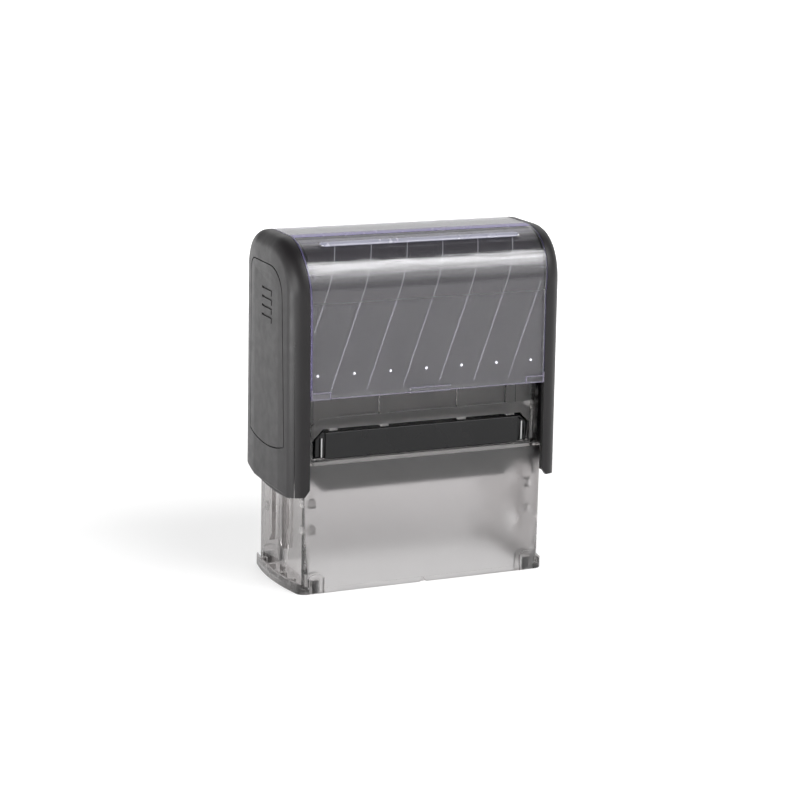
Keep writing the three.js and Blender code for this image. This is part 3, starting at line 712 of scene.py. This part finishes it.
def base_look(centre, normal):
    """The look of a face of the base, by where it lies in mm and where it faces."""
    x, y, z = (abs(value) for value in centre)
    nx, ny, nz = (abs(value) for value in normal)
    if ny > 0.95 and y > 10.6 and z < 26.8 and x < 26:
        return "frosted"
    # painted highlight: the ledge at 27 mm, the shelf at 36.5 mm and the slanted faces between 31 and
    # 37 mm get the pale copy
    ledge = normal.z > 0.3 and y > 11.2 and 26.6 < z < 27.6 and x < WALL_HALF
    shelf = normal.z > 0.9 and y > 9.9 and 36.2 < z < 36.8
    slant = nx > 0.5 and nz > 0.5 and y > 9.6 and 31 < z < 37
    if ledge or shelf or slant:
        return "pale_edge_painted_highlight"
    # painted shade: corner faces, the flange's outer rim and the inner side lugs get the darker smoky
    # copy
    corner = 0.2 < nx < 0.98 and ny > 0.2 and x > 24.7 and y > 9 and z < 27
    rim = nz < 0.3 and x > 26.6 and z < 2.4 and (nx > 0.5 or y > 12)
    lug = 23.9 < x < 25.9 and 8.7 < y < 11 and (12.1 < z < 13.9 or 17.7 < z < 19.5)
    if ny > 0.9 and y > 8.5 and z > 27.6 and x < WALL_HALF:
        return "satin"
    # painted deep shade: rib ends over the opening, the bosses and the side blocks get the darkest
    # smoky copy
    rib_end = normal.z < -0.5 and y > 6 and 33 < z < 37.5
    boss = x > 21.7 and y > 11.7 and z < 4.4 and normal.z > -0.5
    if rib_end or boss or (x > 24.5 and 36.5 < z < 45.5):
        return "smoky_painted_deep_shade"
    return "smoky_painted_shade" if corner or rim or lug else "smoky"


make_base()
for end in ("left", "right"):
    for side in ("front", "back"):
        from_node(f"foot_pad_{side}_{end}", "base", looks["rubber"], "foot_rubber", 0.12)


def make_spring():
    low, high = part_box("return_spring")
    radius, wire = 4.2 * MM, 0.38 * MM
    turns = 8
    bottom, top = low.z + wire, high.z - wire
    steps = 36 * turns
    work = bmesh.new()
    rings = []
    for i in range(steps + 1):
        t = i / steps
        angle = 2 * math.pi * turns * t
        ease = t - 0.018 * math.sin(2 * math.pi * t)
        out = Vector((math.cos(angle), math.sin(angle), 0))
        centre = out * radius + Vector((0, 0, bottom + (top - bottom) * ease))
        ring = []
        for k in range(12):
            a = 2 * math.pi * k / 12
            offset = out * math.cos(a) + Vector((0, 0, math.sin(a)))
            ring.append(work.verts.new(centre + offset * wire))
        rings.append(ring)
    skin(work, rings)
    name = "return_spring_visual"
    piece = new_object(name, finished_mesh(work, name, looks["steel"]))
    soften(piece, 0)
    dress(piece, "base", "return_spring", slot="spring_steel")
    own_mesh(piece)


make_spring()

# ---------- cartridge and carrier ----------
from_node("cartridge_tray", "cartridge", looks["gloss"], "gloss_black", 0.16, 3)
tray_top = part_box("cartridge_tray")[1].z / MM
gleams = [(x - 0.14, x + 0.14, -11.03, -10.9, 28.3, tray_top - 1.1) for x in (-22.75, 22.75)]
boxes("cartridge_end_gleams", looks["gleam"], "cartridge", "gloss_black", gleams, 0.03)
from_node("die_carrier", "carrier", looks["inner"], "inner_black", 0.15)
from_node("text_plate", "carrier", looks["die"], "die_rubber", 0.05, 1)


def soft_slab(name, node, look, inset, round_to):
    """A pad: a slab with rolled edges, so its face is slightly crowned."""
    low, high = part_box(node)
    size = high - low
    middle = (low + high) / 2
    work = bmesh.new()
    bmesh.ops.create_grid(work, x_segments=92, y_segments=36, size=0.5)
    top = {}
    half_x, half_y, half_z = size.x / 2 - inset * MM, size.y / 2 - inset * MM, size.z / 2
    for vert in work.verts:
        x, y = vert.co.x * 2, vert.co.y * 2
        top[vert] = (x, y)
        vert.co = Vector((middle.x + x * half_x, middle.y + y * half_y, low.z))
    base = work.faces[:]
    copy = bmesh.ops.duplicate(work, geom=work.verts[:] + work.edges[:] + base)
    pairs = dict(copy["vert_map"].items())
    for old, (x, y) in top.items():
        edge = min((1 - abs(x)) * half_x, (1 - abs(y)) * half_y) / (round_to * MM)
        roll = math.sqrt(max(0, 1 - (1 - min(edge, 1)) ** 2))
        rise = half_z * (0.35 + 0.65 * roll)
        pairs[old].co.z = middle.z + rise
        old.co.z = middle.z - rise
    for edge in [e for e in work.edges if e.is_boundary and e.verts[0] in top and e.verts[1] in top]:
        a, b = edge.verts
        work.faces.new((a, b, pairs[b], pairs[a]))
    bmesh.ops.recalc_face_normals(work, faces=work.faces)
    mesh = finished_mesh(work, name, look)
    mesh.shade_smooth()
    return new_object(name, mesh)


pad = soft_slab("ink_pad_visual", "ink_pad", looks["felt"], 0.05, 0.8)
dress(pad, "cartridge", "ink_pad", slot="ink_felt")
cushion = soft_slab("die_cushion_visual", "die_cushion", looks["foam"], 0.0, 0.2)
dress(cushion, "carrier", "die_cushion", slot="cushion_foam")


# ---------- floor and light ----------
def make_floor():
    """A pale sweep that glows more away from the stamp."""
    mesh = bpy.data.meshes.new("floor")
    size = 8
    corners = [(-size, -size, 0), (size, -size, 0), (size, size, 0), (-size, size, 0)]
    mesh.from_pydata(corners, [], [(0, 1, 2, 3)])
    look = Look("floor")
    shader = look.principled((0.4, 0.4, 0.4), 0.8, Specular_IOR_Level=0.1)
    shader.inputs["Emission Color"].default_value = (1, 1, 1, 1)
    away = look.nodes.new("ShaderNodeVectorMath")
    away.operation = "LENGTH"
    look.link(look.place, away.inputs[0])
    rise = look.spread(away.outputs["Value"], 0.62, 1.2, 0.05, 0.35)
    look.link(rise, shader.inputs["Emission Strength"])
    mesh.materials.append(look.material)
    floor = new_object("floor", mesh)
    floor.location.z = -0.00002


# The studio's brightness by angle, in degrees: 0 is level at the front, 90 overhead, 180 level behind.
STUDIO = (
    (0, 0.95),
    (10, 1.5),
    (27, 3.4),
    (41, 9.0),
    (50, 12.0),
    (60, 12.0),
    (66, 1.0),
    (70, 0.3),
    (95, 0.2),
    (105, 0.5),
    (120, 1.5),
    (143, 1.7),
    (165, 1.1),
    (180, 1.1),
)
BRIGHTEST = max(value for _, value in STUDIO)
RIM_BOX = (-0.88, -0.44, 0.08)
RIM_BRIGHTNESS = 10.0


class Studio:
    """The world's node tree."""

    def __init__(self):
        world = bpy.data.worlds.new("studio")
        bpy.context.scene.world = world
        world.use_nodes = True
        self.nodes, self.links = world.node_tree.nodes, world.node_tree.links
        self.nodes.clear()
        self.place = self.nodes.new("ShaderNodeTexCoord").outputs["Generated"]
        split = self.nodes.new("ShaderNodeSeparateXYZ")
        self.links.new(self.place, split.inputs[0])
        self.x, self.y, self.z = split.outputs

    def math(self, operation, first, second):
        node = self.nodes.new("ShaderNodeMath")
        node.operation = operation
        for socket, value in zip(node.inputs, (first, second)):
            if isinstance(value, (int, float)):
                socket.default_value = value
            else:
                self.links.new(value, socket)
        return node.outputs[0]

    def fade(self, value, start, end, low, high):
        node = self.nodes.new("ShaderNodeMapRange")
        node.interpolation_type = "SMOOTHSTEP"
        for name, number in (("From Min", start), ("From Max", end), ("To Min", low), ("To Max", high)):
            node.inputs[name].default_value = number
        self.links.new(value, node.inputs["Value"])
        return node.outputs[0]


def make_world():
    """Pale at the horizon, dark overhead, with a wide soft box in front and a small one at the left."""
    studio = Studio()
    sky = studio.fade(studio.z, 0.2, 0.8, 0.95, 0.12)
    backwards = studio.math("MULTIPLY", studio.y, -1.0)
    angle = studio.math("ARCTAN2", studio.z, backwards)
    ramp = studio.nodes.new("ShaderNodeValToRGB")
    studio.links.new(studio.math("DIVIDE", angle, math.pi), ramp.inputs["Fac"])
    stops = ramp.color_ramp.elements
    for degrees, _ in STUDIO[1:-1]:
        stops.new(degrees / 180)
    for stop, (degrees, value) in zip(stops, STUDIO):
        stop.position = degrees / 180
        stop.color = (*[value / BRIGHTEST] * 3, 1)
    front = studio.math("MULTIPLY", ramp.outputs["Color"], BRIGHTEST)
    left, right = studio.fade(studio.x, 0.02, 0.22, 0, 1), studio.fade(studio.x, 0.6, 0.82, 1, 0)
    share = studio.math("MULTIPLY", left, right)
    rest = studio.math("MULTIPLY", sky, studio.math("SUBTRACT", 1.0, share))
    total = studio.math("ADD", rest, studio.math("MULTIPLY", front, share))
    facing = studio.nodes.new("ShaderNodeVectorMath")
    facing.operation = "DOT_PRODUCT"
    facing.inputs[1].default_value = Vector(RIM_BOX).normalized()
    studio.links.new(studio.place, facing.inputs[0])
    start, full = math.cos(math.radians(26)), math.cos(math.radians(10))
    rim = studio.fade(facing.outputs["Value"], start, full, 0, RIM_BRIGHTNESS)
    background = studio.nodes.new("ShaderNodeBackground")
    output = studio.nodes.new("ShaderNodeOutputWorld")
    studio.links.new(studio.math("ADD", total, rim), background.inputs["Strength"])
    studio.links.new(background.outputs[0], output.inputs["Surface"])


def make_side_light():
    """A small soft light low at the left, for the gleam along the arm's rounded edge."""
    lamp = bpy.data.lights.new("side_light", "AREA")
    lamp.shape = "RECTANGLE"
    lamp.size, lamp.size_y = 110 * MM, 60 * MM
    lamp.energy = 0.16
    holder = bpy.data.objects.new("side_light", lamp)
    bpy.context.scene.collection.objects.link(holder)
    holder.location = Vector((-200, 10, 32)) * MM
    holder.rotation_euler = (math.radians(90), 0, math.radians(-90))
    holder.visible_camera = False
    holder.visible_transmission = False


make_floor()
make_side_light()
make_world()
bpy.context.scene.view_settings.view_transform = "Standard"
